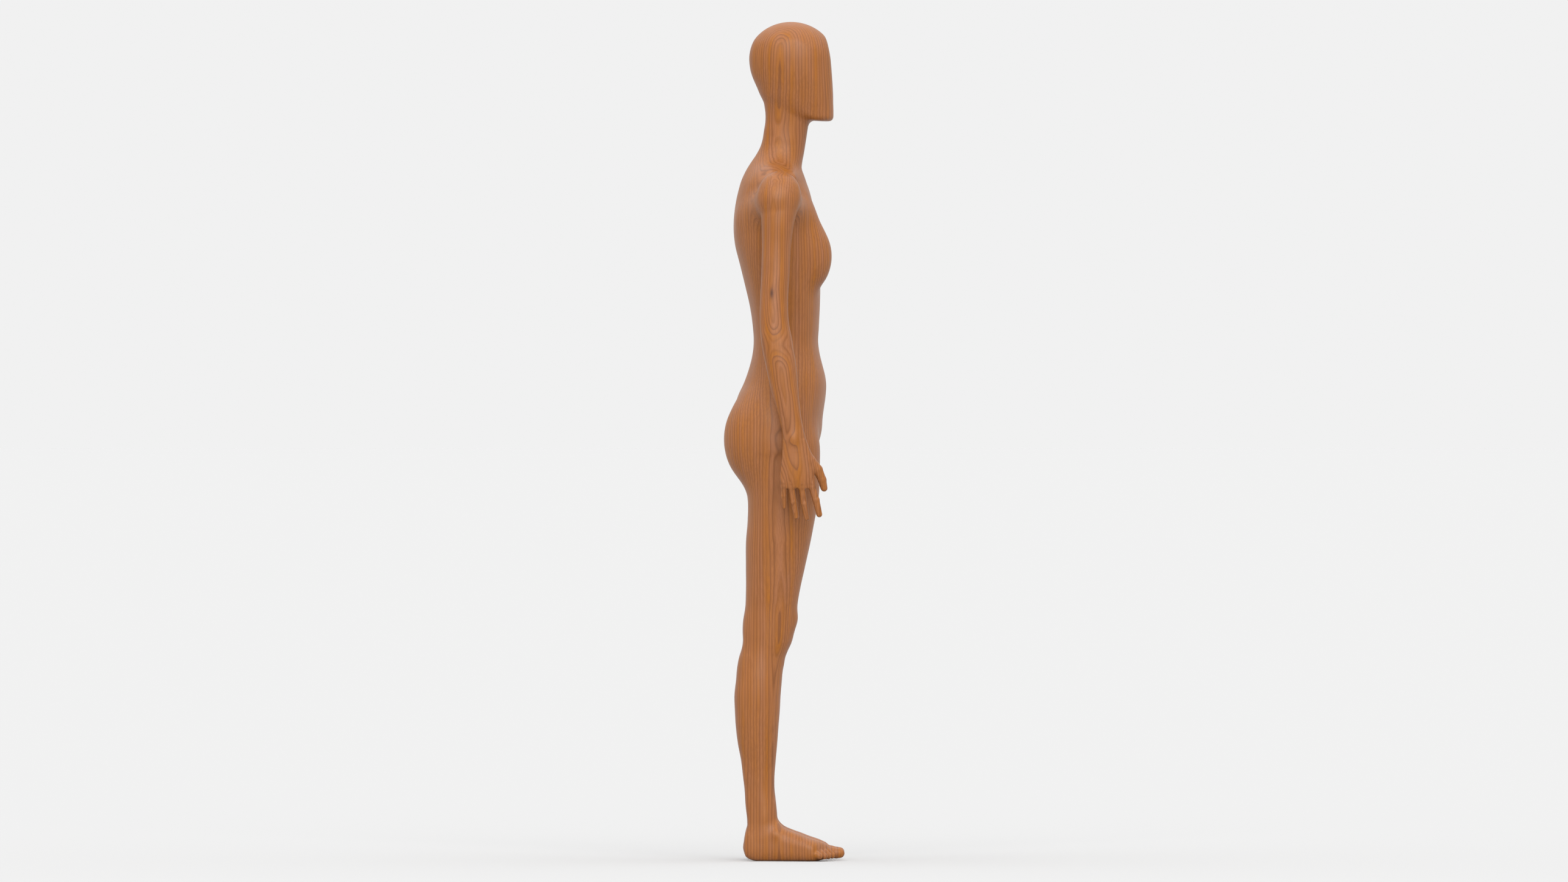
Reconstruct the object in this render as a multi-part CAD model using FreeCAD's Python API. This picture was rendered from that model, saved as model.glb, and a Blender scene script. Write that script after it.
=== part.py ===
"""A standing wooden figure with a smooth, featureless face.

The figure is built as a carver builds one with free limbs: a trunk, a head with its neck, two arms, two hands and
two legs, each carved from straight-grained wood and joined end to end with glued dowels in blind holes. It faces -Y,
stands on z = 0, and is symmetric about x = 0. Lengths in the tables are modules, thousandths of the height, and
everything that is built is in millimetres.
"""

import FreeCAD
import Part

import math
import os

HEIGHT = 400.0  # sole to crown, mm
MODULE = HEIGHT / 1000.0  # mm

# Where the carved pieces meet, in modules.
NECK_JOINT = 836.0  # height of the level joint under the neck
SHOULDER_JOINT = 82.0  # distance of each upright shoulder joint from the middle
WRIST_JOINT = 491.0  # height of the level joint under each forearm
HIP_JOINT = 466.0  # height of the level joint at the fold of each buttock

# Dowels, in mm: diameter, length inside the first piece, length inside the second.
NECK_DOWEL = (8.0, 18.0, 16.0)
SHOULDER_DOWEL = (7.0, 13.0, 9.0)
HIP_DOWEL = (6.0, 15.0, 15.0)
WRIST_DOWEL = (3.0, 7.0, 6.0)
HIP_DOWEL_SPREAD = 16.0  # between the two dowels of one hip
GLUE_FILM = 0.05  # radial gap round a dowel
GLUE_POCKET = 0.8  # extra depth of each blind hole
DOWEL_CHAMFER = 0.5

# Dowel axes, in modules: distance from the middle, and place along Y, which is negative in front.
NECK_DOWEL_Y = 7.5
SHOULDER_DOWEL_Y = 7.5
SHOULDER_DOWEL_Z = 797.0
HIP_DOWEL_X = 46.0
HIP_DOWEL_Y = 6.0
WRIST_DOWEL_X = 118.0
WRIST_DOWEL_Y = -12.5

OUTLINE_POINTS = 20
ARMPIT = 750.0  # modules: above this the trunk is trimmed at the shoulder joints
FAR = 200.0  # modules: past every surface of the figure

# Upright forms, in modules. Each row: height, reach to the front, reach to the back, half width, distance of its
# centre from the middle of the figure.
TORSO = (
    (466, 42, 56, 88.5, 0),
    (482, 41.5, 57, 92, 0),
    (500, 42, 57, 94, 0),
    (520, 44.7, 56, 93, 0),
    (540, 48, 55, 88, 0),
    (555, 49.5, 54, 82.5, 0),
    (570, 50.5, 48, 77, 0),
    (590, 46, 41, 69.5, 0),
    (618, 41, 36.7, 64, 0),
    (650, 42.5, 39, 67, 0),
    (685, 43.5, 46, 72.5, 0),
    (710, 42, 52, 76.5, 0),
    (735, 39.5, 58, 80, 0),
    (757, 38, 60.2, 84, 0),
    (772, 37, 59.4, 94, 0),
    (788, 32, 56.8, 104, 0),
    (802, 28.5, 53.3, 106, 0),
    (814, 24, 49, 98, 0),
    (822, 21.8, 45.2, 78, 0),
    (829, 21.6, 41.2, 48, 0),
    (836, 22.4, 37, 30, 0),
)
HEAD = (
    (836, 22.4, 37, 29, 0),
    (848, 24.6, 29.5, 26.2, 0),
    (860, 26.5, 25.6, 24.8, 0),
    (870, 28, 24.2, 24.3, 0),
    (877, 30, 22.9, 24.3, 0),
    (881.5, 46, 22.6, 24.8, 0),
    (886, 59, 22.2, 26, 0),
    (894, 59.9, 22.9, 28, 0),
    (904, 59.3, 24.5, 30.5, 0),
    (918, 58.8, 30, 33.6, 0),
    (932, 57.6, 36.8, 36.2, 0),
    (944, 56.7, 40.4, 37.9, 0),
    (956, 55.5, 41.9, 38.6, 0),
    (968, 53.4, 40, 37.6, 0),
    (980, 49.8, 34.5, 33.8, 0),
    (989, 43, 26, 27.8, 0),
    (995, 33, 15.5, 19.5, 0),
    (1000, 16, -2, 7, 0),
)
ARM = (
    (491, 28, 1.8, 7.9, 118),
    (503, 24.5, 1.4, 8.4, 118),
    (523, 19.2, 4.2, 9, 117.5),
    (550, 16.1, 12.6, 11, 116.5),
    (585, 14.2, 20.5, 13.2, 115),
    (615, 10.9, 26.6, 14.2, 113),
    (640, 6, 28.7, 13.8, 111),
    (665, 4.9, 28.4, 14.1, 108.6),
    (700, 6.9, 26.9, 14.8, 105),
    (735, 9, 26.2, 16, 101.5),
    (760, 12.5, 27, 18, 99.5),
    (780, 16.5, 30, 20.5, 96),
    (797, 17.5, 32, 21.5, 94),
    (810, 14.5, 30.5, 19.5, 91),
    (818, 9, 26, 15, 88),
    (823, 1, 18, 8, 86),
)
LEG = (
    (30, 6, 40.5, 13.5, 39),
    (41, 2, 43.5, 15, 39),
    (50, -4.5, 44, 16.2, 39),
    (67, -9.1, 45.9, 16.6, 38.6),
    (85, -11.3, 47, 16.2, 38.5),
    (100, -11.3, 48.8, 17, 38.6),
    (120, -9.8, 51.2, 19.5, 39),
    (150, -7.2, 56.4, 24, 40),
    (180, -4.9, 58.6, 27.2, 41),
    (205, -3.4, 58.4, 27.7, 41.4),
    (230, -1.2, 55.8, 26.5, 41.3),
    (245, 2, 53, 26, 41.5),
    (260, 9, 50.6, 26.6, 41.9),
    (280, 13.3, 49.4, 27.8, 42.4),
    (302, 15.6, 46.2, 29.2, 42.9),
    (325, 19.8, 45.4, 31.8, 43.6),
    (355, 26.2, 45.4, 35.4, 44.3),
    (385, 32.4, 45, 38.6, 45),
    (415, 38, 42.9, 41, 45.4),
    (440, 41.6, 46, 42.4, 46),
    (456, 42.6, 53, 42.8, 46),
    (466, 43, 61, 42.8, 46),
)
PALM = (
    (440, 33, 3, 3.6, 117.5),
    (447, 35, 4.8, 5.2, 117.6),
    (456, 35.4, 5, 6.5, 117.8),
    (471, 33.2, 3.6, 7.5, 118),
    (483, 30, 2.2, 7.8, 118),
    (491, 28, 1.8, 7.9, 118),
)
# The foot lies level. Each row: distance in front, height of its top, height of its underside, half width, distance
# of its centre from the middle of the figure.
FOOT = (
    (-48.5, 24, 8, 7, 39),
    (-45, 36, 2, 11, 39),
    (-38, 46, -1, 13.8, 39.1),
    (-24, 50, -1.5, 15.4, 39.5),
    (-8, 47, -1.5, 16.6, 40.4),
    (6, 38.6, -1.5, 18, 41.6),
    (20, 32, -1.5, 20.2, 43.2),
    (32, 27.6, -1.5, 21.8, 44.6),
    (43, 23, -0.6, 21, 44.6),
    (51, 19.4, 2, 17, 42.4),
)

# Digits, in modules. Each: root and tip centre, as distance from the middle, distance in front and height, then the
# radius at the root and at the tip.
FINGERS = (
    ((117.5, 30.3, 458), (114.8, 41.8, 414), 4.5, 3.4),
    ((117.8, 19.2, 458), (113.2, 27.2, 410), 4.7, 3.3),
    ((117.6, 8.6, 458), (111.4, 14.6, 412), 4.5, 3.2),
    ((117.0, -0.4, 458), (111.0, 0.6, 424), 4.0, 2.9),
)
THUMB = ((116.6, 24, 484), (111.6, 46.6, 445.5), 6.4, 3.6)
TOES = (
    ((31, 42, 11), (28.8, 66.4, 8.6), 8.6, 5.4),
    ((40, 42, 11), (40, 63.5, 6.9), 6.4, 4.0),
    ((47.4, 40, 10.5), (48, 59.5, 6.2), 6.2, 3.8),
    ((54, 36, 10), (55.6, 54, 5.9), 6.0, 3.7),
    ((59, 30, 9), (61.4, 46, 5.8), 5.6, 3.7),
)

# Round masses, in modules: distance from the middle, place along Y and height of the centre, then its three radii.
BREAST = (37, -21, 720, 29, 35.6, 45)
BUTTOCK = (43, 30, 502, 44, 42, 57)

# How square a section is in front and behind: 2 is an ellipse.
SQUARE_TORSO = (2.5, 2.4)
SQUARE_HEAD = (3.2, 2.1)
SQUARE_LIMB = (2.05, 2.05)
SQUARE_PALM = (2.6, 2.6)
SQUARE_FOOT = (3.2, 2.3)


def squared(value, power):
    """A cosine or sine drawn out to a squarer shape."""
    return math.copysign(abs(value) ** (2 / power), value)


def outline(half_width, half_depth, powers):
    """Points round a closed squared oval, the front half first, as (across, along)."""
    points = []
    for k in range(OUTLINE_POINTS):
        turn = -math.pi + 2 * math.pi * (k + 0.5) / OUTLINE_POINTS
        power = powers[0] if turn < 0 else powers[1]
        points.append((half_width * squared(math.cos(turn), power), half_depth * squared(math.sin(turn), power)))
    return points


def closed_wire(points):
    """A smooth closed wire through points in modules, with knots that every section shares."""
    curve = Part.BSplineCurve()
    count = len(points)
    curve.interpolate(
        Points=[FreeCAD.Vector(*p) * MODULE for p in points],
        PeriodicFlag=True,
        Parameters=[k / count for k in range(count + 1)],
    )
    return Part.Wire([curve.toShape()])


def bulge(mass, x, z):
    """How far a round mass reaches from its own centre along Y at a place in the figure, or None outside it."""
    across, _, height, radius_x, radius_y, radius_z = mass
    room = 1 - ((abs(x) - across) / radius_x) ** 2 - ((z - height) / radius_z) ** 2
    return radius_y * math.sqrt(room) if room > 0 else None


def upright(rows, powers, masses=()):
    """A solid lofted through the level sections of a table, swelled where round masses stand out of it."""
    wires = []
    for height, front, back, half_width, middle in rows:
        points = []
        for x, y in outline(half_width, (front + back) / 2, powers):
            y += (back - front) / 2
            for mass in masses:
                reach = bulge(mass, x, height)
                if reach is not None and y * mass[1] > 0:
                    y = min(y, mass[1] - reach) if mass[1] < 0 else max(y, mass[1] + reach)
            points.append((middle + x, y, height))
        wires.append(closed_wire(points))
    return Part.makeLoft(wires, True)


def foot_form():
    """The foot behind its toes, lofted through upright sections from heel to ball."""
    wires = []
    for ahead, top, bottom, half_width, middle in FOOT:
        points = outline(half_width, (top - bottom) / 2, SQUARE_FOOT)
        wires.append(closed_wire([(middle + x, -ahead, (top + bottom) / 2 + z) for x, z in points]))
    return Part.makeLoft(wires, True)


def digit(root, tip, root_radius, tip_radius):
    """A finger or toe: a tapered round bar with a domed tip, turned about its own axis."""
    start = FreeCAD.Vector(root[0], -root[1], root[2]) * MODULE
    end = FreeCAD.Vector(tip[0], -tip[1], tip[2]) * MODULE
    length = (end - start).Length
    base, dome = root_radius * MODULE, tip_radius * MODULE
    half = math.sqrt(0.5) * dome
    profile = Part.Wire(
        [
            Part.makeLine(FreeCAD.Vector(0, 0, 0), FreeCAD.Vector(base, 0, 0)),
            Part.makeLine(FreeCAD.Vector(base, 0, 0), FreeCAD.Vector(dome, 0, length)),
            Part.Arc(
                FreeCAD.Vector(dome, 0, length),
                FreeCAD.Vector(half, 0, length + half),
                FreeCAD.Vector(0, 0, length + dome),
            ).toShape(),
            Part.makeLine(FreeCAD.Vector(0, 0, length + dome), FreeCAD.Vector(0, 0, 0)),
        ]
    )
    turned = Part.Face(profile).revolve(FreeCAD.Vector(0, 0, 0), FreeCAD.Vector(0, 0, 1), 360)
    turned.Placement = FreeCAD.Placement(start, FreeCAD.Rotation(FreeCAD.Vector(0, 0, 1), end - start))
    return turned


def slab(low, high):
    """A box between two corners in modules, to keep what lies in it."""
    size = [(b - a) * MODULE for a, b in zip(low, high)]
    return Part.makeBox(*size, FreeCAD.Vector(*low) * MODULE)


def rod(place, axis, radius, length):
    """A plain round bar that starts at a place in mm."""
    return Part.makeCylinder(radius, length, place, axis)


def dowel(place, axis, sizes):
    """A dowel across a joint at a place in mm: sizes[1] of it lies before the joint and sizes[2] past it."""
    diameter, before, past = sizes
    bar = rod(place - axis * before, axis, diameter / 2, before + past)
    rims = [e for e in bar.Edges if isinstance(e.Curve, Part.Circle)]
    return bar.makeChamfer(DOWEL_CHAMFER, rims)


def dowel_hole(place, axis, sizes):
    """The blind holes of one dowel, with a glue film round it and a glue pocket past each end."""
    diameter, before, past = sizes
    start = place - axis * (before + GLUE_POCKET)
    return rod(start, axis, diameter / 2 + GLUE_FILM, before + past + 2 * GLUE_POCKET)


def mirrored(shape):
    """The same shape on the figure's right, at negative x."""
    return shape.mirror(FreeCAD.Vector(0, 0, 0), FreeCAD.Vector(1, 0, 0))


def joints():
    """Every joint on the figure's left and middle: its places, its axis and its dowel's sizes."""
    across, up = FreeCAD.Vector(1, 0, 0), FreeCAD.Vector(0, 0, 1)
    hip = FreeCAD.Vector(HIP_DOWEL_X, HIP_DOWEL_Y, HIP_JOINT) * MODULE
    half_spread = FreeCAD.Vector(0, HIP_DOWEL_SPREAD / 2, 0)
    shoulder = FreeCAD.Vector(SHOULDER_JOINT, SHOULDER_DOWEL_Y, SHOULDER_DOWEL_Z) * MODULE
    return {
        "neck": ([FreeCAD.Vector(0, NECK_DOWEL_Y, NECK_JOINT) * MODULE], up, NECK_DOWEL),
        "shoulder": ([shoulder], across, SHOULDER_DOWEL),
        "hip": ([hip - half_spread, hip + half_spread], up, HIP_DOWEL),
        "wrist": ([FreeCAD.Vector(WRIST_DOWEL_X, WRIST_DOWEL_Y, WRIST_JOINT) * MODULE], up, WRIST_DOWEL),
    }


def drilled(shape, names, both_sides=False):
    """A piece with the blind holes of the joints named, on both sides of the figure if asked."""
    found = joints()
    for name in names:
        places, axis, sizes = found[name]
        for place in places:
            hole = dowel_hole(place, axis, sizes)
            shape = shape.cut(hole)
            if both_sides:
                shape = shape.cut(mirrored(hole))
    return shape


def trunk():
    """The body from the fold of the buttocks to the root of the neck, trimmed flat at the shoulder joints."""
    form = upright(TORSO, SQUARE_TORSO, (BREAST, BUTTOCK))
    past_shoulder = slab((SHOULDER_JOINT, -FAR, ARMPIT), (FAR, FAR, NECK_JOINT))
    form = form.cut(past_shoulder).cut(mirrored(past_shoulder))
    form = drilled(form, ["neck"])
    return drilled(form, ["shoulder", "hip"], both_sides=True)


def head():
    """The head and neck in one piece, with a flat face plane over an undercut jaw."""
    return drilled(upright(HEAD, SQUARE_HEAD), ["neck"])


def left_arm():
    """The arm from the cap of the shoulder to just above the wrist."""
    form = upright(ARM, SQUARE_LIMB)
    form = form.common(slab((SHOULDER_JOINT, -FAR, WRIST_JOINT), (FAR, FAR, NECK_JOINT)))
    return drilled(form, ["shoulder", "wrist"])


def left_hand():
    """The palm with four fingers and a thumb."""
    form = upright(PALM, SQUARE_PALM)
    for sizes in FINGERS + (THUMB,):
        form = form.fuse(digit(*sizes))
    return drilled(form, ["wrist"])


def left_leg():
    """The leg and its bare foot in one piece, with five toes and a flat sole."""
    form = upright(LEG, SQUARE_LIMB).fuse(foot_form())
    for sizes in TOES:
        form = form.fuse(digit(*sizes))
    form = form.common(slab((0, -FAR, 0), (FAR, FAR, HIP_JOINT)))
    return drilled(form, ["hip"])


def dowels(name):
    """The dowels of one joint, as separate solids in one shape."""
    places, axis, sizes = joints()[name]
    bars = [dowel(place, axis, sizes) for place in places]
    return bars[0] if len(bars) == 1 else Part.makeCompound(bars)


def pieces():
    """Every piece of the figure by name. The right side is the left side mirrored."""
    made = {"trunk": trunk(), "head": head(), "neck_dowel": dowels("neck")}
    paired = {
        "arm": left_arm(),
        "hand": left_hand(),
        "leg": left_leg(),
        "shoulder_dowel": dowels("shoulder"),
        "wrist_dowel": dowels("wrist"),
        "hip_dowels": dowels("hip"),
    }
    for name, shape in paired.items():
        made["left_" + name] = shape
        made["right_" + name] = mirrored(shape)
    return made


os.makedirs("parts", exist_ok=True)
for name, shape in pieces().items():
    box = shape.optimalBoundingBox()
    low_to_high = [round(v, 1) for v in (box.XMin, box.XMax, box.YMin, box.YMax, box.ZMin, box.ZMax)]
    print(name, "valid:", shape.isValid(), "solids:", len(shape.Solids), "mm3:", round(shape.Volume), low_to_high)
    shape.exportStep("parts/%s.step" % name)
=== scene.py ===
import math

import bmesh
import bpy
import numpy as np
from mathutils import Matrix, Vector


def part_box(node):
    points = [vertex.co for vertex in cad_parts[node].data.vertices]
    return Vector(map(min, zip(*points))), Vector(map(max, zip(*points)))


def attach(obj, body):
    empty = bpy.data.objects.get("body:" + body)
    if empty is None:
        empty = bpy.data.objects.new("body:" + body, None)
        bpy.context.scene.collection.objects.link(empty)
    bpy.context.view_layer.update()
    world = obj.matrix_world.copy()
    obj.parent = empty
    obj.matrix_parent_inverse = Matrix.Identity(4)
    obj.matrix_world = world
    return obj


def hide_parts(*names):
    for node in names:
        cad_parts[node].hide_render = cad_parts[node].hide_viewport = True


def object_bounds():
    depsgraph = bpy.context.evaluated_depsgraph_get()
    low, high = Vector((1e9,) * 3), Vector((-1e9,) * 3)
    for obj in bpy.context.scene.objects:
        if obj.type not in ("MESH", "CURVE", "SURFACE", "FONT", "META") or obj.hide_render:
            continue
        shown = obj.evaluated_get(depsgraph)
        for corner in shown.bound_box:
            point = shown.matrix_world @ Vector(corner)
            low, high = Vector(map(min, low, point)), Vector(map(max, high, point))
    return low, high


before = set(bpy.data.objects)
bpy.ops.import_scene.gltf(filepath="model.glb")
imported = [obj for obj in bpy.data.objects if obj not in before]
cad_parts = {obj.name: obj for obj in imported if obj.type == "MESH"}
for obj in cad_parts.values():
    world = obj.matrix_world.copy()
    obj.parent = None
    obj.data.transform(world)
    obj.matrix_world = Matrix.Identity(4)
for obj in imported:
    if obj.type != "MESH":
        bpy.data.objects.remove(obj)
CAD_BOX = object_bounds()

import openvdb
from mathutils import Vector

# The figure's shape is worked out in modules, thousandths of its height, and turned into metres at the end.
# It faces -Y and stands on z = 0. "Ahead" means towards -Y. What both sides have is given for the left one,
# and the right one is its mirror image. Every form is a field: negative inside, zero on the surface.
HEIGHT = CAD_BOX[1].z - CAD_BOX[0].z
MODULES = 1000.0  # in the height of the figure
MODULE = HEIGHT / MODULES
FAR_AWAY = 500.0  # modules: the value of a field where its form is left out

# Where the pieces meet, as in the CAD model.
NECK_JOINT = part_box("trunk")[1].z / MODULE
SHOULDER_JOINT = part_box("left_arm")[0].x / MODULE
WRIST_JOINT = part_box("left_arm")[0].z / MODULE
HIP_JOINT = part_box("trunk")[0].z / MODULE
ARMPIT = 745.0  # below this height the arm hangs free of the trunk
GLUE_FILM = 0.15  # modules of room round a dowel
OVERLAP = 4.0  # modules that a form is meshed past its joint before it is cut there
WELD = 0.01  # modules: points this close are one point
CUT_PRECISION = 1e-7  # metres
NEAR_CENTRE = 0.3  # within this share of an oval's size its field is worked out more simply
HOLE_DEPTH = 1.5  # modules that a dowel's hole goes on past the dowel's end
ARM_CUT_DROP = 10.0  # modules below the armpit, down to which the trunk is cut at the shoulder

# Sizes of the mesh grid, in modules.
GRID_TRUNK = 1.5
GRID_HEAD = 1.0
GRID_ARM = 1.1
GRID_HAND = 0.55
GRID_LEG = 0.95
DEEPEST = 9.0  # a field's values are kept within this distance of the surface

# The boxes that the forms are meshed in, in modules: low corner and high corner.
TRUNK_BOX = (
    (-SHOULDER_JOINT - 20, -84, HIP_JOINT - OVERLAP),
    (SHOULDER_JOINT + 20, 84, NECK_JOINT + OVERLAP),
)
HEAD_BOX = ((-46, -68, NECK_JOINT - OVERLAP), (46, 48, 1003))
ARM_BOX = ((SHOULDER_JOINT - OVERLAP, -42, WRIST_JOINT - OVERLAP), (135, 48, 832))
HAND_BOX = ((102, -56, 402), (130, 10, WRIST_JOINT + OVERLAP))
LEG_BOX = ((-1, -76, -3), (96, 76, HIP_JOINT + OVERLAP))

# Cuts at the joints. Each: a point, the direction in which everything is dropped, and the height above which
# the cut reaches, or None where it reaches everywhere.
TRUNK_CUTS = (
    ((0, 0, HIP_JOINT), (0, 0, -1), None),
    ((0, 0, NECK_JOINT), (0, 0, 1), None),
    ((SHOULDER_JOINT, 0, 0), (1, 0, 0), ARMPIT - ARM_CUT_DROP),
    ((-SHOULDER_JOINT, 0, 0), (-1, 0, 0), ARMPIT - ARM_CUT_DROP),
)
HEAD_CUTS = (((0, 0, NECK_JOINT), (0, 0, -1), None),)
ARM_CUTS = (
    ((0, 0, WRIST_JOINT), (0, 0, -1), None),
    ((SHOULDER_JOINT, 0, 0), (-1, 0, 0), None),
)
HAND_CUTS = (((0, 0, WRIST_JOINT), (0, 0, 1), None),)
LEG_CUTS = (((0, 0, HIP_JOINT), (0, 0, 1), None),)

# Upright forms, in modules. Each row: height, reach ahead, reach behind, half width, distance of its centre
# from the middle.
TORSO = (
    (462, 14, 26, 30, 0),
    (472, 31, 45, 78, 0),
    (482, 38, 52, 89, 0),
    (495, 40.5, 55, 91.8, 0),
    (510, 43.5, 56.8, 92.6, 0),
    (530, 46.2, 59.4, 90.5, 0),
    (543, 48.2, 58.4, 87, 0),
    (555, 49.8, 54.6, 83, 0),
    (568, 50.4, 48.6, 78.2, 0),
    (580, 48.8, 44.2, 73.4, 0),
    (590, 46.2, 41.2, 69.6, 0),
    (602, 43.2, 38.4, 66.2, 0),
    (618, 41, 36.7, 64, 0),
    (635, 41.8, 37.6, 65, 0),
    (660, 43, 41, 68.5, 0),
    (685, 43.4, 46.8, 72.5, 0),
    (710, 42.6, 53, 76.5, 0),
    (735, 41, 59, 79.5, 0),
    (760, 38, 60.4, 80.5, 0),
    (780, 35, 58.6, 78, 0),
    (797, 31, 55.2, 70, 0),
    (810, 26.4, 51.2, 61, 0),
    (822, 21.4, 45.2, 47, 0),
    (834, 22.1, 38.1, 33, 0),
    (842, 23.6, 33, 27.8, 0),
    (851, 25.1, 28.3, 24.8, 0),
    (860, 26.5, 25.6, 23.8, 0),
    (870, 28, 24, 23.2, 0),
    (880, 29.4, 22.4, 23.2, 0),
    (890, 30, 22.2, 24, 0),
    (900, 30.4, 23.4, 25.6, 0),
    (912, 30, 25.8, 27.6, 0),
    (930, 28, 27, 29, 0),
)
HEAD = (
    (876, 59.6, -28, 22.6, 0),
    (886, 59.9, -13, 25.2, 0),
    (895, 59.9, 4, 27.4, 0),
    (903, 59.4, 16, 29.6, 0),
    (912, 59.2, 25.8, 31.8, 0),
    (921, 58.6, 31.4, 33.8, 0),
    (930, 57.9, 35.9, 35.8, 0),
    (938, 57.2, 38.9, 37.2, 0),
    (947, 56.4, 41, 38.2, 0),
    (956, 55.6, 41.9, 38.6, 0),
    (964, 54.3, 41.3, 38.4, 0),
    (973, 52.4, 39.4, 37.8, 0),
    (982, 50.4, 36.6, 36.6, 0),
    (1004, 44, 30, 33, 0),
)
# The round top of the skull: centre as distance from the middle, distance ahead, height, then three radii.
CROWN = ((0, 8.4, 955), (41.5, 51.5, 45.1))
JAW_LINE = 881.0  # height of the underside of the jaw at the chin
JAW_SLOPE = 0.06  # how much the underside rises towards the neck
CHIN = 57.0  # how far ahead the chin is
ARM = (
    (484, 31.2, 2.2, 7.8, 118),
    (495, 28.6, 1.6, 8.1, 118),
    (503, 26, 1.4, 8.8, 118),
    (523, 21.4, 4.6, 9.6, 117.5),
    (550, 18, 12.8, 11.6, 116.5),
    (585, 15, 20.8, 13.6, 115),
    (615, 10.9, 26.6, 14.2, 113),
    (640, 6, 28.7, 13.9, 111),
    (665, 4.9, 28.4, 14.1, 108.6),
    (700, 6.9, 26.9, 14.8, 105),
    (735, 9, 26.2, 16.2, 101.5),
    (760, 12.5, 27, 18.4, 99.5),
    (780, 16.8, 27.6, 20.2, 96),
    (797, 17.2, 27, 19.4, 93.8),
    (808, 14, 24, 16.6, 91.8),
    (815, 8, 18.6, 12, 89.8),
    (820, -2, 10, 4, 88),
)
PALM = (
    (444, 32.4, 1, 3.4, 117.4),
    (450, 34.8, 4, 5, 117.5),
    (458, 35.2, 4.6, 6.2, 117.7),
    (471, 33.2, 3.6, 7.3, 118),
    (484, 31.2, 2.2, 7.8, 118),
    (495, 28.6, 1.6, 8.1, 118),
    (503, 26, 1.4, 8.8, 118),
)
LEG = (
    (20, -12, 38, 12, 39),
    (34, -9, 41.5, 14, 39),
    (41, -8, 43.4, 15, 39),
    (50, -8, 44, 15.8, 39),
    (67, -9.4, 45.9, 16.2, 38.6),
    (85, -11.3, 47, 16, 38.5),
    (100, -11.3, 48.8, 17, 38.6),
    (120, -9.8, 51.2, 19.5, 39),
    (140, -8, 55, 22.6, 39.6),
    (160, -6.5, 57.4, 25.4, 40.3),
    (180, -4.9, 58.6, 27.2, 41),
    (197, -4, 59.1, 27.8, 41.3),
    (215, -2.5, 57.2, 27.4, 41.4),
    (232, -1, 55.6, 26.4, 41.3),
    (241, 0.6, 54.1, 26, 41.4),
    (250, 4.4, 52, 26, 41.6),
    (260, 9, 50.6, 26.6, 41.9),
    (272, 12, 50.3, 27.4, 42.2),
    (285, 14.2, 49, 28, 42.5),
    (302, 15.6, 46.2, 29.2, 42.9),
    (320, 18.5, 45.4, 31.2, 43.4),
    (350, 25, 45.4, 34.8, 44.2),
    (380, 31.6, 45.3, 38, 45),
    (407, 36.8, 43.2, 40.6, 45.6),
    (430, 41, 43.2, 42.6, 46.2),
    (450, 42.4, 46.5, 44, 46.4),
    (470, 42.8, 50, 45, 46.7),
    (500, 42, 50, 44, 47),
    (530, 34, 40, 30, 46),
)
# The foot lies level. Each row: distance ahead, height of its top, height of its underside, half width,
# distance of its centre from the middle.
FOOT = (
    (-48.8, 20, 12, 5, 39),
    (-46.5, 32, 6.6, 9.5, 39),
    (-42, 42, 2.6, 12.2, 39),
    (-35, 50, -0.6, 13.8, 39.2),
    (-22, 51, -2, 15, 39.6),
    (-10, 48.5, -2, 16, 40.2),
    (0, 40.2, -2, 17.2, 41),
    (10, 35.6, -2, 18.8, 42),
    (20, 32, -2, 20.4, 43.2),
    (30, 28, -2, 21.6, 44.4),
    (36, 26, -1.4, 20.8, 44.2),
    (42, 24, 0, 17, 40.6),
    (48, 21.4, 1.8, 12.6, 36.4),
    (54, 18.6, 4, 8.6, 32),
)

# Digits. Each point: distance from the middle, distance ahead, height, radius.
FINGERS = (
    ((117.5, 29.6, 466, 4.6), (117.3, 33, 446, 4.1), (116.8, 38, 430, 4.1), (115.4, 41.8, 413, 3.5)),
    ((117.8, 19.4, 466, 4.4), (117.8, 21, 445, 3.8), (116.6, 23.8, 426, 3.6), (114, 27.2, 408.4, 3.1)),
    ((117.6, 9, 466, 4.4), (117.4, 8.8, 446, 3.8), (115.2, 11.4, 428, 3.6), (112.2, 14.9, 410, 3)),
    ((117, 1, 464, 4), (116.6, -0.2, 447, 3.7), (114.2, -0.2, 435, 3.2), (111.4, 0.4, 422, 2.7)),
)
THUMB = (
    (117, 21, 492, 6),
    (115.6, 31, 477, 6.2),
    (113.4, 40, 466, 5.8),
    (112.1, 45.2, 454, 5),
    (111.6, 47.6, 444, 4),
)
TOES = (
    ((30.2, 44, 11.6, 8.4), (29, 56, 10, 6.5), (28.4, 62, 9, 6.1), (28.2, 66.4, 8.9, 5.8)),
    ((38.6, 44, 12.6, 6.2), (38.8, 52, 10.6, 4.5), (38.6, 57.2, 6.8, 4.1)),
    ((46, 41, 12, 5.8), (46.6, 48.2, 10, 4.4), (46.6, 52.8, 6.4, 4)),
    ((53.2, 37, 11, 5.6), (54.2, 43.8, 9.2, 4.3), (54.4, 48.2, 6, 3.9)),
    ((59.4, 31, 9.6, 5.4), (61, 38.2, 8.2, 4.4), (61.6, 42.2, 6.4, 4)),
)

# Round masses: centre as distance from the middle, distance ahead, height, then the three radii.
BREAST = ((37, 21, 720), (29, 35.8, 45))
BREAST_SLOPE = ((36, 11, 742), (29, 32, 54))
BUTTOCK = ((43.5, -29.5, 502), (44, 42, 56.5))

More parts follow.
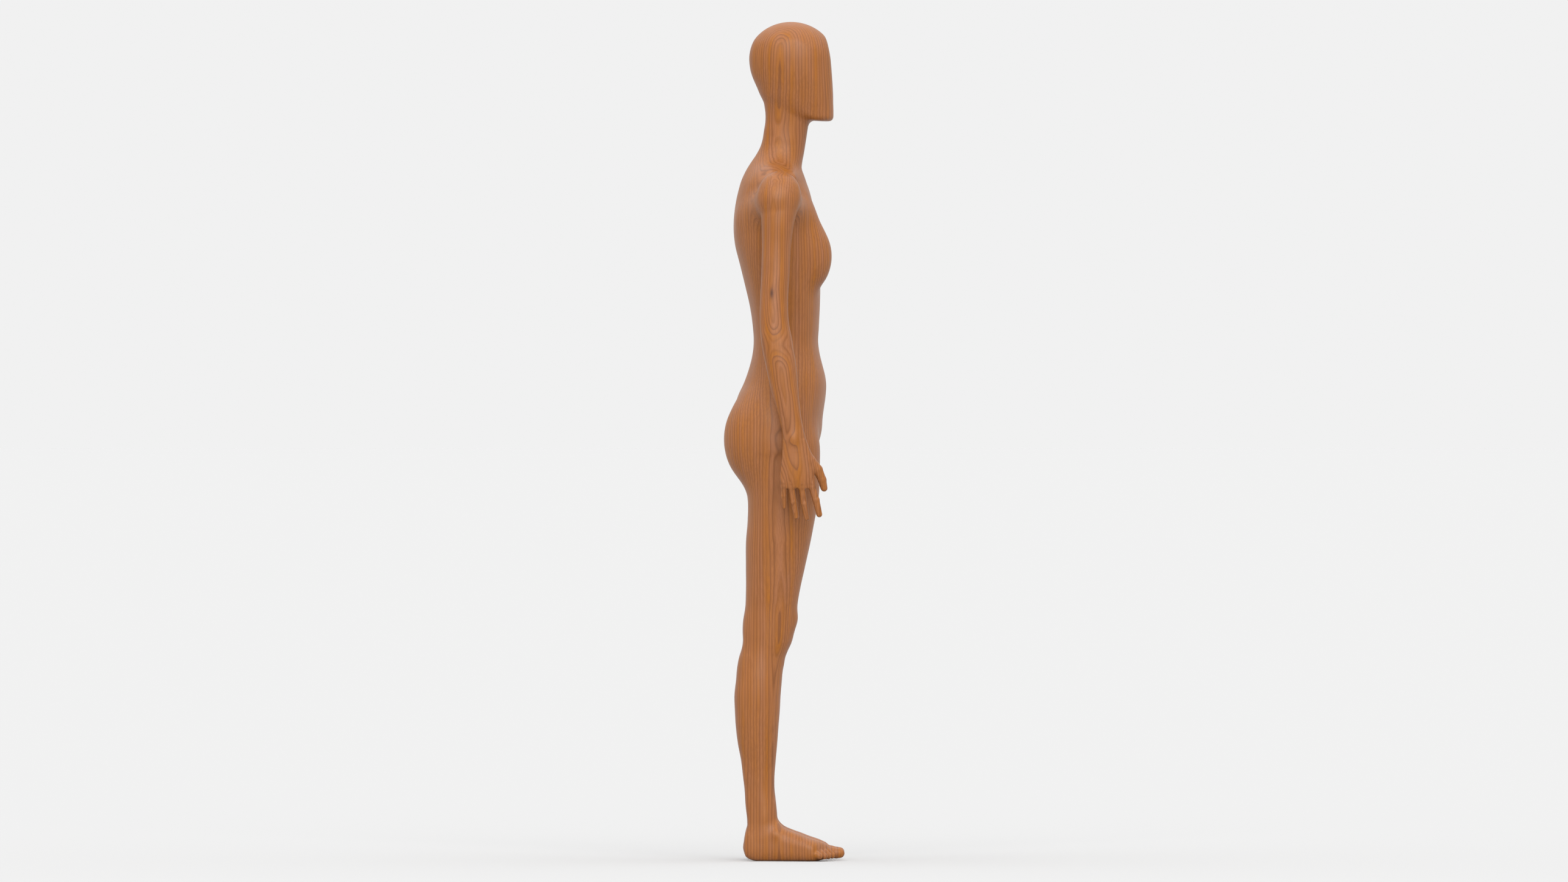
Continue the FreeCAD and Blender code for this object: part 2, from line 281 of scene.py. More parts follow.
# Rounded bars under the skin, with points as in a digit: the ridge from the neck to the shoulder, the muscle
# from the chest to the arm, the one from the shoulder blade to the arm, and the collarbone.
YOKE = ((0, -18, 806, 23), (46, -12, 805, 20), (80, -7, 795.5, 20))
PECTORAL = ((40, 13, 764, 17), (94, -0.6, 788, 17))
BLADE = ((44, -32, 766, 18), (97, -14, 786, 16.5))
COLLARBONE = ((10, 14.4, 815.4, 4), (54, 8, 814, 3.4))

# The reach of the fillets where forms run into each other, and of the roundings of edges, in modules.
BREAST_SLOPE_FILLET = 10.0
BREAST_FILLET = 9.0
THIGH_FILLET = 6.0
BUTTOCK_FILLET = 12.0
YOKE_FILLET = 16.0
YOKE_BEND = 8.0
MUSCLE_FILLET = 14.0
COLLARBONE_FILLET = 12.0
COLLARBONE_BEND = 2.0
SHOULDER_FILLET = 12.0
FREE_ARM_FILLET = 0.05
SHOULDER_FADE = (746.0, 790.0)  # heights over which the fillet of the shoulder grows
NECK_FILLET = 9.0
CROWN_EDGE = 3.0
JAW_EDGE = 7.0
WRIST_FILLET = 0.5
FINGER_FILLET = 2.2
THUMB_FILLET = 3.5
TENDON_FILLET = 3.4
ANKLE_FILLET = 5.0
ANKLE_TOP = 70.0  # above this height there is no foot
TOE_FILLET = 1.4
FOOT_END_EDGE = 5.0
SOLE_EDGE = 3.0
DIGIT_BEND = 1.2

# How round the two ends of an upright form are, in modules.
TORSO_RIM = 3.0
HEAD_RIM = 3.0
ARM_RIM = 4.0
PALM_RIM = 2.0
LEG_RIM = 10.0

THIGH_BELOW_JOINT = 60.0  # modules below the hip joint, down to which the trunk's roundings shape the leg

# The back of the hand: a knuckle on each finger's second point, and a tendon from there towards the wrist.
KNUCKLE_SPREADS = (3.0, 3.0, 3.6)
KNUCKLE_HEIGHT = 1.0
TENDON_OUT = (4.4, 4.6)  # how far outside the finger its two ends lie
TENDON_RISE = (4.0, 34.0)  # how far above the knuckle its two ends lie
TENDON_RADII = (1.0, 0.8)
WRIST_GATHER = (0.6, 7.0)  # a tendon's upper end lies at this share of its distance ahead, plus this

# How square a section is ahead of its centre and behind it: 2 is an ellipse.
SQUARE_TORSO = (2.3, 2.3)
SQUARE_HEAD = (3.6, 2.1)
SQUARE_LIMB = (2.05, 2.05)
SQUARE_PALM = (2.4, 2.4)
SQUARE_FOOT = (2.2, 3.2)

# Small swellings and hollows of the surface. Each: distance from the middle, distance ahead, height, its
# three spreads, and how far it stands out, which is negative in a hollow.
TRUNK_RELIEF = (
    (0, 51, 585, 4, 6, 5.5, -3.2),  # navel
    (0, 42, 640, 5, 14, 42, -1.3),  # line down the belly
    (0, 30, 770, 7, 16, 34, -1.8),  # breastbone
    (0, -58, 720, 8, 16, 80, -3.4),  # spine
    (0, -40, 610, 8, 12, 34, -2.4),  # small of the back
    (0, -62, 494, 6, 22, 34, -9),  # cleft of the buttocks
    (18, -42, 552, 6, 9, 7, -1.4),  # dimples over the buttocks
    (42, -58, 752, 18, 12, 26, 1.8),  # shoulder blades
    (0, 22, 815, 6, 8, 6, -1.6),  # pit of the throat
    (0, 44, 512, 26, 14, 14, 1),  # lowest part of the belly
)
LEG_RELIEF = (
    (42.5, 14.5, 288, 11, 9, 11, 2),  # kneecap
    (42.5, 2, 236, 9, 8, 9, 0.9),  # below the kneecap
    (42, -50, 262, 8, 10, 16, -1.6),  # back of the knee
    (56, -10, 32, 4.5, 6, 6, 2),  # outer ankle
    (23.6, -8, 38, 4.5, 6, 6, 2),  # inner ankle
    (52.5, -34, 62, 5, 8, 26, -2.4),  # beside the heel tendon, outside
    (25, -34, 62, 5, 8, 26, -2.4),  # beside the heel tendon, inside
    (25, 2, 8, 8, 22, 8, -3),  # arch of the foot
)
ARM_RELIEF = (
    (124.5, -26, 624, 6, 6, 8, 1.2),  # elbow
    (113, 14, 612, 8, 7, 10, -0.9),  # crook of the elbow
    (126, 10.6, 501, 5, 5.4, 7.4, 2.4),  # knob at the wrist
    (118, 8, 770, 9, 16, 26, 0.8),  # cap of the shoulder
)


# The grain. Each timber has a pith, the tree's centre line, that the growth rings run round. Each row:
# height, distance of the pith from the middle of the figure, and its distance ahead, in modules. It lies
# close under the surface at each side, so the rings show as straight lines with loops only along the pith.
BODY_PITH = (
    (0, 54, -5.4),
    (60, 50.5, -5.4),
    (100, 51.6, -5.4),
    (140, 58.6, -5.4),
    (160, 62.5, -5.4),
    (175, 65.6, -5.4),
    (215, 67.4, -5.4),
    (241, 66, -5.4),
    (285, 68.6, -5.4),
    (320, 70.4, -5.4),
    (380, 78, -5.4),
    (407, 81, -5.4),
    (450, 84.8, -5.4),
    (482, 86.9, -5.4),
    (510, 86.6, -5.4),
    (555, 77, -5.4),
    (585, 65.5, -5.4),
    (618, 58, -5.4),
    (710, 70, -5.4),
    (760, 74, -5.4),
    (800, 66, -5.4),
    (818, 52, -5.4),
    (826, 40, -5.4),
    (836, 28.6, -5.4),
    (860, 20, -5.4),
    (880, 18.8, -5.4),
    (900, 24.6, -5.4),
    (920, 33, -5.4),
    (950, 39.4, -5.4),
    (1000, 40, -5.4),
)
ARM_PITH = (
    (400, 108, 20),
    (440, 112, 18),
    (470, 119, 14),
    (503, 121, 9),
    (530, 123, 5),
    (560, 126, 0),
    (590, 125.6, -4),
    (612, 118.5, -8),
    (640, 122, -12),
    (675, 119.6, -14.4),
    (700, 117.2, -13.4),
    (735, 115, -12.6),
    (755, 115.1, -12),
    (770, 114.8, -11.6),
    (790, 115, -11),
    (797, 113.4, -10.6),
    (804, 109.8, -10),
    (811, 103.4, -9.6),
    (824, 88, -9),
)
BODY_RING = 3.6  # modules from ring to ring
ARM_RING = 2.5
SIDE_STRETCH = 1.35  # how much closer the rings are across the figure than along its depth
FOOT_STRETCH = ((0.04, 0.3), (0.13, 1.0))  # heights, as shares of the figure's, and what they multiply it by
CREASE = 6.0  # modules: rounds off the rings where the two sides meet
BODY_SWAY = 1.6  # modules that the rings wander
ARM_SWAY = 2.4
UNEVEN_RINGS = 0.7  # how far a ring's width strays, in rings
RAMP_SPAN = 200.0  # modules that a ramp from 0 to 1 stands for
PITH_CORE = 1.5  # modules: how far the dark of the pith reaches
PITH_DARKNESS = 0.35
# A slim dark knot on the right upper arm: its centre and its spreads, in modules.
ARM_KNOT = ((-121.5, 14.9, 675), (8, 2.1, 6.4))
KNOT_DARKNESS = 0.9

# How much a ring is dark latewood, from one ring's edge to the next: (place, level).
RING_PROFILE = ((0.0, 0.5), (0.14, 0.08), (0.42, 0.1), (0.7, 0.45), (0.88, 0.95), (1.0, 0.5))

# The noises in the wood, in waves per module along X, Y and Z.
WANDER_WAVES = (0.035, 0.035, 0.009)
UNEVEN_WAVES = (0.11, 0.11, 0.0025)
SLOW_WAVES = (0.1, 0.1, 0.004)
FIBRE_WAVES = (0.9, 0.9, 0.012)
PORE_WAVES = (1.6, 1.6, 0.07)
# Painted sheen: soft random patches of the wood's colour pushed towards the lighter pink, at this many
# waves.
SHEEN_PATCH_WAVES = (0.05, 0.05, 0.02)
DOWEL_WAVES = (900, 900, 60)  # per metre

# Colours as they look on a screen, 0 to 255.
EARLY_ORANGE = (148, 87, 12)
EARLY_PINK = (147, 95, 62)
LATE_BROWN = (103, 58, 22)
FIBRE_BROWN = (114, 67, 30)
KNOT_BROWN = (66, 34, 22)
DOWEL_PALE = (214, 184, 140)
DOWEL_DARK = (176, 140, 96)

# The surface of the wood under its satin varnish.
ROUGHNESS = 0.44
LATEWOOD_POLISH = 0.06  # how much smoother latewood is
FIBRE_ROUGHNESS = 0.08  # how much rougher the fibres are
SPECULAR = 0.24
COAT = 0.08
COAT_ROUGHNESS = 0.28
BUMP = 0.2
GRAIN_RELIEF = 0.00006  # metres
DOWEL_ROUGHNESS = 0.62
DOWEL_RELIEF = 0.00005  # metres

# The studio: brightnesses, and the two soft suns as name, azimuth, elevation, strength and spread.
BACKDROP = 0.879  # brightness of the surroundings near the horizon
OVERHEAD = 2.0  # brightness straight overhead
LIFT_FROM = 0.15  # how high the brighter part overhead begins, from 0 at the horizon to 1 at the top
SUNS = (("key", -88, 28, 2.1, 50), ("back", -135, 50, 0.1, 50))
FLOOR_TINT = 0.455
FLOOR_ROUGHNESS = 0.9
FLOOR_HALF = 400.0  # metres

LENS = 350.0  # mm
SENSOR = 36.0  # mm
VIEW_WIDTH = 1.871  # width of the view at the figure, in heights of the figure
VIEW_END = 1000.0  # metres


def smooth_least(a, b, reach):
    """Two forms joined with a fillet of about this reach."""
    blend = np.maximum(reach - np.abs(a - b), 0) / reach
    return np.minimum(a, b) - blend * blend * reach / 4


def smooth_most(a, b, reach):
    """What two forms share, with its edge rounded."""
    return -smooth_least(-a, -b, reach)


def slopes(heights, values):
    """Slopes at a table's rows: that of a parabola through each row and the two beside it."""
    spans = np.diff(heights)
    steps = np.diff(values) / spans
    inner = (steps[:-1] * spans[1:] + steps[1:] * spans[:-1]) / (spans[:-1] + spans[1:])
    return np.concatenate(([steps[0]], inner, [steps[-1]]))


def read(table, at):
    """A table's columns at any values of its first one, by a smooth curve through its rows."""
    rows = np.array(table, float)
    heights = rows[:, 0]
    at = np.clip(at, heights[0], heights[-1])
    i = np.clip(np.searchsorted(heights, at) - 1, 0, len(heights) - 2)
    span = heights[i + 1] - heights[i]
    t = (at - heights[i]) / span
    columns = []
    for column in range(1, rows.shape[1]):
        values = rows[:, column]
        slope = slopes(heights, values)
        columns.append(
            values[i] * (1 + 2 * t) * (1 - t) ** 2
            + values[i + 1] * t * t * (3 - 2 * t)
            + slope[i] * span * t * (1 - t) ** 2
            - slope[i + 1] * span * t * t * (1 - t)
        )
    return columns


def oval(across, along, half_width, half_depth, powers):
    """A squared oval: the distance to it on the line from its centre."""
    power = np.where(along < 0, powers[0], powers[1])
    share = (np.abs(across) / half_width) ** power + (np.abs(along) / half_depth) ** power
    share = np.maximum(share, 1e-9) ** (1 / power)
    radius = np.sqrt(across * across + along * along)
    middle = (share - 1) * np.minimum(half_width, half_depth)
    return np.where(share > NEAR_CENTRE, radius * (1 - 1 / np.maximum(share, NEAR_CENTRE)), middle)


def upright(place, table, powers, rim):
    """An upright form from a table of level sections."""
    x, y, z = place
    ahead, behind, half_width, middle = read(table, z)
    form = oval(x - middle, y - (behind - ahead) / 2, half_width, (ahead + behind) / 2, powers)
    ends = np.maximum(table[0][0] - z, z - table[-1][0])
    return smooth_most(form, ends, rim)


def mass(place, centre, radii):
    """A round mass."""
    parts = [(p - c) / r for p, c, r in zip(place, (centre[0], -centre[1], centre[2]), radii)]
    share = np.sqrt(sum(p * p for p in parts))
    return (share - 1) * min(radii)


def digit(place, joints, reach=DIGIT_BEND):
    """A finger, toe or other row of tapered rounded bars, from point to point."""
    whole = None
    for (x0, a0, z0, r0), (x1, a1, z1, r1) in zip(joints, joints[1:]):
        start = (x0, -a0, z0)
        run = (x1 - x0, a0 - a1, z1 - z0)
        offset = [p - s for p, s in zip(place, start)]
        t = sum(o * r for o, r in zip(offset, run)) / sum(r * r for r in run)
        t = np.clip(t, 0, 1)
        gap = np.sqrt(sum((o - t * r) ** 2 for o, r in zip(offset, run)))
        bar = gap - (r0 + (r1 - r0) * t)
        whole = bar if whole is None else smooth_least(whole, bar, reach)
    return whole


def relief(place, form, swellings):
    """A form with small swellings and hollows added."""
    for x, ahead, z, spread_x, spread_y, spread_z, height in swellings:
        square = ((place[0] - x) / spread_x) ** 2
        square = square + ((place[1] + ahead) / spread_y) ** 2
        square = square + ((place[2] - z) / spread_z) ** 2
        form = form - height * np.exp(-square)
    return form


def ramp(value, low, high):
    """From 0 at low to 1 at high, easing in and out."""
    t = np.clip((value - low) / (high - low), 0, 1)
    return t * t * (3 - 2 * t)


def torso(place):
    """The trunk with the roots of the neck and thighs, without arms."""
    form = upright(place, TORSO, SQUARE_TORSO, TORSO_RIM)
    form = smooth_least(form, mass(place, *BREAST_SLOPE), BREAST_SLOPE_FILLET)
    form = smooth_least(form, mass(place, *BREAST), BREAST_FILLET)
    form = smooth_least(form, upright(place, LEG, SQUARE_LIMB, LEG_RIM), THIGH_FILLET)
    form = smooth_least(form, mass(place, *BUTTOCK), BUTTOCK_FILLET)
    form = smooth_least(form, digit(place, YOKE, YOKE_BEND), YOKE_FILLET)
    form = smooth_least(form, digit(place, PECTORAL), MUSCLE_FILLET)
    form = smooth_least(form, digit(place, BLADE), MUSCLE_FILLET)
    form = smooth_least(form, digit(place, COLLARBONE, COLLARBONE_BEND), COLLARBONE_FILLET)
    return relief(place, form, TRUNK_RELIEF)


def arm_alone(place):
    """The arm down to the wrist, without the trunk."""
    return relief(place, upright(place, ARM, SQUARE_LIMB, ARM_RIM), ARM_RELIEF)


def shoulder_reach(z):
    """How softly arm and trunk join: not at all where the arm hangs free."""
    return FREE_ARM_FILLET + SHOULDER_FILLET * ramp(z, *SHOULDER_FADE)


def trunk_field(place):
    """The trunk with the top of the arm."""
    z = place[2]
    arm = np.where(z < ARMPIT, FAR_AWAY, arm_alone(place))
    return smooth_least(torso(place), arm, shoulder_reach(z))


def arm_field(place):
    """The arm with the side of the trunk above the armpit, and the start of the hand."""
    z = place[2]
    body = np.where(z < ARMPIT, FAR_AWAY, torso(place))
    arm = smooth_least(body, arm_alone(place), shoulder_reach(z))
    return smooth_least(arm, hand_alone(place), WRIST_FILLET)


def head_field(place):
    """The head over an undercut jaw, with its neck."""
    x, y, z = place
    skull = upright(place, HEAD, SQUARE_HEAD, HEAD_RIM)
    above_centre = np.maximum(z, CROWN[0][2])
    skull = smooth_most(skull, mass((x, y, above_centre), *CROWN), CROWN_EDGE)
    skull = smooth_most(skull, JAW_LINE + JAW_SLOPE * (y + CHIN) - z, JAW_EDGE)
    return smooth_least(skull, torso(place), NECK_FILLET)


def tendon_of(x, ahead, z):
    """A bar on the back of the hand, from a finger's knuckle towards the wrist."""
    share, shift = WRIST_GATHER
    low = (x + TENDON_OUT[0], ahead, z + TENDON_RISE[0], TENDON_RADII[0])
    high = (x + TENDON_OUT[1], ahead * share + shift, z + TENDON_RISE[1], TENDON_RADII[1])
    return low, high


def hand_alone(place):
    """The palm with its fingers, thumb, knuckles and tendons."""
    form = upright(place, PALM, SQUARE_PALM, PALM_RIM)
    for finger in FINGERS:
        form = smooth_least(form, digit(place, finger), FINGER_FILLET)
    form = smooth_least(form, digit(place, THUMB), THUMB_FILLET)
    for finger in FINGERS:
        x, ahead, z, radius = finger[1]
        form = relief(place, form, [(x + radius, ahead, z, *KNUCKLE_SPREADS, KNUCKLE_HEIGHT)])
        form = smooth_least(form, digit(place, tendon_of(x, ahead, z)), TENDON_FILLET)
    return form


def hand_field(place):
    """The hand with the end of the arm."""
    return smooth_least(arm_alone(place), hand_alone(place), WRIST_FILLET)


def leg_field(place):
    """The leg with its foot, and with the trunk's roundings near the hip joint. Its sole is flat."""
    z = place[2]
    foot = np.where(z > ANKLE_TOP, FAR_AWAY, foot_alone(place))
    form = smooth_least(upright(place, LEG, SQUARE_LIMB, LEG_RIM), foot, ANKLE_FILLET)
    form = relief(place, form, LEG_RELIEF)
    body = np.where(z < HIP_JOINT - THIGH_BELOW_JOINT, FAR_AWAY, torso(place))
    return smooth_most(np.minimum(form, body), -z, SOLE_EDGE)


def foot_alone(place):
    """The foot with its toes, before its sole is cut flat."""
    x, y, z = place
    top, bottom, half_width, middle = read(FOOT, -y)
    form = oval(x - middle, (top + bottom) / 2 - z, half_width, (top - bottom) / 2, SQUARE_FOOT)
    ends = np.maximum(FOOT[0][0] + y, -y - FOOT[-1][0])
    form = smooth_most(form, ends, FOOT_END_EDGE)
    for toe in TOES:
        form = smooth_least(form, digit(place, toe), TOE_FILLET)
    return form


def drilled(place, form, dowel_nodes):
    """A form with a round hole for each dowel that enters it."""
    for centre, axis, radius, half_length in dowel_nodes:
        offset = [p - c for p, c in zip(place, centre)]
        along = np.abs(offset[axis]) - half_length - HOLE_DEPTH
        across = np.sqrt(sum(o * o for k, o in enumerate(offset) if k != axis)) - radius - GLUE_FILM
        form = np.maximum(form, -np.maximum(along, across))
    return form


def islands(obj):
    """The boxes of an object's separate parts, in modules, as (low, high)."""
    mesh = bmesh.new()
    mesh.from_mesh(obj.data)
    bmesh.ops.remove_doubles(mesh, verts=mesh.verts, dist=MODULE * WELD)
    left = set(mesh.verts)
    boxes = []
    while left:
        stack = [left.pop()]
        found = list(stack)
        while stack:
            for edge in stack.pop().link_edges:
                for vert in edge.verts:
                    if vert in left:
                        left.remove(vert)
                        stack.append(vert)
                        found.append(vert)
        points = np.array([v.co for v in found]) / MODULE
        boxes.append((points.min(0), points.max(0)))
    mesh.free()
    return sorted(boxes, key=lambda pair: tuple(pair[0]))


def dowels_of(names):
    """The dowels of CAD nodes: centre, axis, radius and half length, in modules."""
    found = []
    for name in names:
        for low, high in islands(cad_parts[name]):
            size = high - low
            axis = int(np.argmax(size))
            radius = (size.sum() - size[axis]) / 4
            found.append((tuple((low + high) / 2), axis, radius, size[axis] / 2))
    return found


def meshed(field, low, high, step, dowel_names, both_sides=False):
    """Points and quads of a field's surface between two corners. A form on both sides reads |x|."""
    low, high = np.array(low, float), np.array(high, float)
    counts = np.ceil((high - low) / step).astype(int) + 1
    x, y, z = (low[k] + step * np.arange(counts[k]) for k in range(3))
    x, y, z = x[:, None, None], y[None, :, None], z[None, None, :]
    values = field((np.abs(x) if both_sides else x, y, z))
    values = drilled((x, y, z), np.broadcast_to(values, tuple(counts)), dowels_of(dowel_names))
    values = np.clip(values, -DEEPEST, DEEPEST)
    grid = openvdb.FloatGrid(FAR_AWAY)
    grid.copyFromArray(np.ascontiguousarray(values, dtype=np.float32))
    points, quads = grid.convertToQuads(0.0)
    return points * step + low, quads


def cut(mesh, point, normal, above):
    """Cuts a mesh flat at a plane, drops what lies past it, and closes the cut."""
    chosen = [f for f in mesh.faces if above is None or f.calc_center_median().z > above]
    parts = set(chosen)
    parts.update(v for f in chosen for v in f.verts)
    parts.update(e for f in chosen for e in f.edges)
    made = bmesh.ops.bisect_plane(
        mesh, geom=list(parts), dist=CUT_PRECISION, plane_co=point, plane_no=normal, clear_outer=True
    )
    rim = [e for e in made["geom_cut"] if isinstance(e, bmesh.types.BMEdge) and e.is_boundary]
    for edge in rim:
        edge.smooth = False
    filled = bmesh.ops.triangle_fill(mesh, edges=rim, use_beauty=True)
    for face in (f for f in filled["geom"] if isinstance(f, bmesh.types.BMFace)):
        face.smooth = False


def carved(name, node, points, quads, cuts, material):
    """A piece from its surface, cut at its joints and put in place of its CAD node."""
    data = bpy.data.meshes.new(name)
    data.from_pydata((points * MODULE).tolist(), [], quads.tolist())
    data.shade_smooth()
    mesh = bmesh.new()
    mesh.from_mesh(data)
    bmesh.ops.recalc_face_normals(mesh, faces=mesh.faces)
    for point, normal, above in cuts:
        level = None if above is None else above * MODULE
        cut(mesh, [v * MODULE for v in point], normal, level)
    bmesh.ops.recalc_face_normals(mesh, faces=mesh.faces)
    mesh.to_mesh(data)
    mesh.free()
    data.materials.append(material)
    obj = bpy.data.objects.new(name, data)
    bpy.context.scene.collection.objects.link(obj)
    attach(obj, "root")
    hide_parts(node)
    return obj


def mirrored_copy(obj, name, node):
    """The same piece on the figure's right."""
    data = obj.data.copy()
    data.name = name
    points = np.empty(len(data.vertices) * 3, np.float32)
    data.vertices.foreach_get("co", points)
    points[0::3] *= -1
    data.vertices.foreach_set("co", points)
    data.flip_normals()
    copy = bpy.data.objects.new(name, data)
    bpy.context.scene.collection.objects.link(copy)
    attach(copy, "root")
    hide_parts(node)
    return copy


class Nodes:
    """A short way to write a material's nodes."""

    def __init__(self, name):
        self.material = bpy.data.materials.new(name)
        self.material.use_nodes = True
        self.tree = self.material.node_tree
        self.tree.nodes.clear()

    def add(self, kind, settings=None, **inputs):
        """A node. An input goes by its name on the node, or by its place as i0, i1 and so on."""
        node = self.tree.nodes.new(kind)
        for key, value in (settings or {}).items():
            setattr(node, key, value)
        for key, value in inputs.items():
            by_place = key[0] == "i" and key[1:].isdigit()
            self.give(node.inputs[int(key[1:]) if by_place else key], value)
        return node

    def give(self, socket, value):
        """A value or a link for a socket."""
        if isinstance(value, bpy.types.NodeSocket):
            self.tree.links.new(value, socket)
        else:
            socket.default_value = value

    def math(self, operation, a, b=0.0):
        """The result of a sum on numbers."""
        return self.add("ShaderNodeMath", {"operation": operation}, i0=a, i1=b).outputs[0]

    def vector(self, operation, a, b):
        """The result of a sum on vectors."""
        return self.add("ShaderNodeVectorMath", {"operation": operation}, i0=a, i1=b).outputs[0]

    def blend(self, share, a, b):
        """Colour a, with this share of colour b."""
        node = self.add("ShaderNodeMix", {"data_type": "RGBA"})
        self.give(node.inputs["Factor"], share)
        self.give(node.inputs["A"], a)
        self.give(node.inputs["B"], b)
        return node.outputs["Result"]

    def noise(self, place, waves, detail, output="Fac"):
        """Noise with this many waves per unit along X, Y and Z."""
        vector = self.vector("MULTIPLY", place, waves)
        return self.add("ShaderNodeTexNoise", None, Vector=vector, Scale=1.0, Detail=detail).outputs[output]

    def ramp(self, value, stops, kind="LINEAR"):
        """A ramp through (place, level) stops."""
        node = self.add("ShaderNodeValToRGB", None, Fac=value)
        ramp = node.color_ramp
        ramp.interpolation = kind
        while len(ramp.elements) < len(stops):
            ramp.elements.new(0.5)
        for element, (at, level) in zip(ramp.elements, stops):
            element.position = at
            element.color = (level, level, level, 1)
        return node.outputs["Color"]

    def surface(self, base, **inputs):
        """The finished material, with this base colour."""
        surface = self.add("ShaderNodeBsdfPrincipled", None, **inputs)
        self.give(surface.inputs["Base Color"], base)
        self.add("ShaderNodeOutputMaterial", None, Surface=surface.outputs[0])
        return surface


def colour(red, green, blue):
    """A colour as it looks on a screen, 0 to 255, turned into the linear one that nodes take."""
    def linear(value):
        value /= 255
        return value / 12.92 if value <= 0.04045 else ((value + 0.055) / 1.055) ** 2.4
    return (linear(red), linear(green), linear(blue), 1.0)


def pith_line(n, height, rows):
    """The pith's distance from the middle and its place along Y, at any height, in modules."""
    share = n.math("DIVIDE", height, MODULES)
    across = n.ramp(share, [(z / MODULES, x / RAMP_SPAN) for z, x, ahead in rows], "CARDINAL")
    along = n.ramp(share, [(z / MODULES, 0.5 - ahead / RAMP_SPAN) for z, x, ahead in rows], "CARDINAL")
    along = n.math("MULTIPLY", n.math("SUBTRACT", along, 0.5), RAMP_SPAN)
    return n.math("MULTIPLY", across, RAMP_SPAN), along


def length_of(n, a, b):
    """The length of the two sides' hypotenuse."""
    return n.math("SQRT", n.math("ADD", n.math("MULTIPLY", a, a), n.math("MULTIPLY", b, b)))


def fading(n, square):
    """From 1 where a squared distance is 0 down to nothing."""
    return n.math("EXPONENT", n.math("MULTIPLY", square, -1.0))


def bent_place(n, place, sway):
    """The place, moved a little sideways so that the rings wander."""
    drift = n.vector("SUBTRACT", n.noise(place, WANDER_WAVES, 2.0, "Color"), (0.5, 0.5, 0.5))
    return n.vector("ADD", place, n.vector("MULTIPLY", drift, (sway, sway, 0)))


def distance_from_pith(n, place, rows):
    """How far a place is from the pith, counted shorter along Y than across."""
    x, y, z = n.add("ShaderNodeSeparateXYZ", None, Vector=place).outputs
    pith_x, pith_y = pith_line(n, z, rows)
    across = n.math("SUBTRACT", length_of(n, x, CREASE), pith_x)
    across = n.math("MULTIPLY", across, n.ramp(n.math("DIVIDE", z, MODULES), FOOT_STRETCH))
    across = n.math("MULTIPLY", across, SIDE_STRETCH)
    return length_of(n, across, n.math("SUBTRACT", y, pith_y))


def ring_wood(n, place, turns, latewood, fibre):
    """The wood's colour from its rings, fibres and pores, with random patches of painted sheen. Turns counts
    the rings from the pith.
    """
    ring_number = n.math("FLOOR", turns)
    ring_tone = n.add("ShaderNodeTexWhiteNoise", {"noise_dimensions": "1D"}, W=ring_number).outputs["Value"]
    slow = n.ramp(n.noise(place, SLOW_WAVES, 2.0), ((0.3, 0.0), (0.7, 1.0)))
    tone = n.math("ADD", n.math("MULTIPLY", ring_tone, 0.45), n.math("MULTIPLY", slow, 0.55))
    wood = n.blend(tone, colour(*EARLY_ORANGE), colour(*EARLY_PINK))
    strength = n.math("ADD", n.math("MULTIPLY", ring_tone, 0.55), 0.4)
    wood = n.blend(n.math("MULTIPLY", latewood, strength), wood, colour(*LATE_BROWN))
    streaks = n.ramp(fibre, ((0.38, 0.0), (0.72, 1.0)))
    wood = n.blend(n.math("MULTIPLY", streaks, 0.5), wood, colour(*FIBRE_BROWN))
    pores = n.ramp(n.noise(place, PORE_WAVES, 2.0), ((0.0, 1.0), (0.38, 0.0)))
    wood = n.blend(n.math("MULTIPLY", pores, 0.35), wood, colour(*FIBRE_BROWN))
    # Painted sheen: soft random patches of the colour pushed a little towards the lighter pink.
    painted_sheen = n.ramp(n.noise(place, SHEEN_PATCH_WAVES, 2.0), ((0.3, 0.0), (0.7, 1.0)))
    return n.blend(n.math("MULTIPLY", painted_sheen, 0.12), wood, colour(*EARLY_PINK))


def knot_share(n, place, centre, spreads):
    """How much a small knot darkens the wood: most at its centre, fading outwards."""
    offset = n.vector("SUBTRACT", place, centre)
    shrunk = n.vector("MULTIPLY", offset, tuple(1 / spread for spread in spreads))
    square = n.add("ShaderNodeVectorMath", {"operation": "DOT_PRODUCT"}, i0=shrunk, i1=shrunk)
    return n.math("MULTIPLY", fading(n, square.outputs["Value"]), KNOT_DARKNESS)


